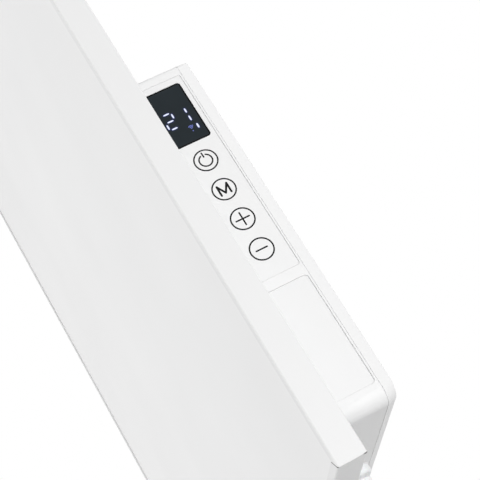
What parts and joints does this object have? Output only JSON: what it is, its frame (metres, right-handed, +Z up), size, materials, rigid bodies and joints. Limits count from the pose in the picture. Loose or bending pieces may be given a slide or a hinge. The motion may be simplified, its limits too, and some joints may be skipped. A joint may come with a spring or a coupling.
{
  "type": "infrared panel heater",
  "caption": "Flat wall-hung radiant panel in a mitred frame, with a control housing behind its right edge, touch controls on its side face and a mains lead.",
  "frame": {"origin": "the middle of the four wall-screw holes, on the wall plane", "axes": "+X to the right along the wall, -Y out into the room, +Z up"},
  "size_m": [0.6, 0.0468, 1.2532],
  "materials": {
    "frame_white": "satin white powder coat",
    "front_white": "fine-textured white enamel",
    "housing_white": "fine spark-eroded grain",
    "control_white": "satin moulded plate",
    "window_black": "smoked acrylic",
    "galvanised": "galvanised sheet",
    "bracket_steel": "white powder coat",
    "aluminium": "die cast",
    "zinc_screws": "zinc plated",
    "spring_steel": "plain",
    "plug_nickel": "nickel plated",
    "film": "carbon film",
    "insulation": "fibre board",
    "dark_plastic": "moulded",
    "rubber": "soft",
    "lead_red": "silicone sleeve",
    "circuit_board": "solder resist",
    "relay_blue": "moulded",
    "transformer_yellow": "tape wound",
    "terminal_green": "moulded",
    "harness_grey": "ribbon",
    "cord_white": "smooth sheath",
    "tie_grey": "woven strap"
  },
  "bodies": {
    "brackets": {"bracket_left": "bracket_steel", "bracket_right": "bracket_steel"},
    "heater": {"frame_bottom": "frame_white", "frame_top": "frame_white", "frame_left": "frame_white", "frame_right": "frame_white", "corner_keys": "aluminium", "frame_screws": "zinc_screws", "front_plate": "front_white", "heating_film": "film", "insulation_board": "insulation", "back_plate": "galvanised", "thermal_cutouts": "dark_plastic", "lead_grommet": "rubber", "heater_leads": "lead_red", "hanger_left": "galvanised", "hanger_right": "galvanised", "hanger_screws": "zinc_screws", "spacer_posts": "housing_white", "spacer_pads": "rubber", "housing_shell": "housing_white", "housing_cover": "housing_white", "housing_screws": "zinc_screws", "cover_screws": "zinc_screws", "control_plate": "control_white", "display_window": "window_black", "blank_insert": "control_white", "display_board": "circuit_board", "display_module": "dark_plastic", "touch_springs": "spring_steel", "power_board": "circuit_board", "board_screws": "zinc_screws", "relay": "relay_blue", "transformer": "transformer_yellow", "capacitors": "dark_plastic", "terminal_block": "terminal_green", "radio_module": "spring_steel", "board_harness": "harness_grey", "room_sensor": "dark_plastic", "strain_relief": "cord_white", "mains_tail": "cord_white", "cord_lead": "cord_white", "cord_coil": "cord_white", "cord_tail": "cord_white", "cord_tie": "tie_grey", "plug_body": "cord_white", "plug_pins": "plug_nickel"}
  },
  "joints": [
    {"name": "lift_off", "type": "slide", "parent": "brackets", "child": "heater", "axis": [0, 0, 1], "range_m": [0, 0.016]}
  ]
}
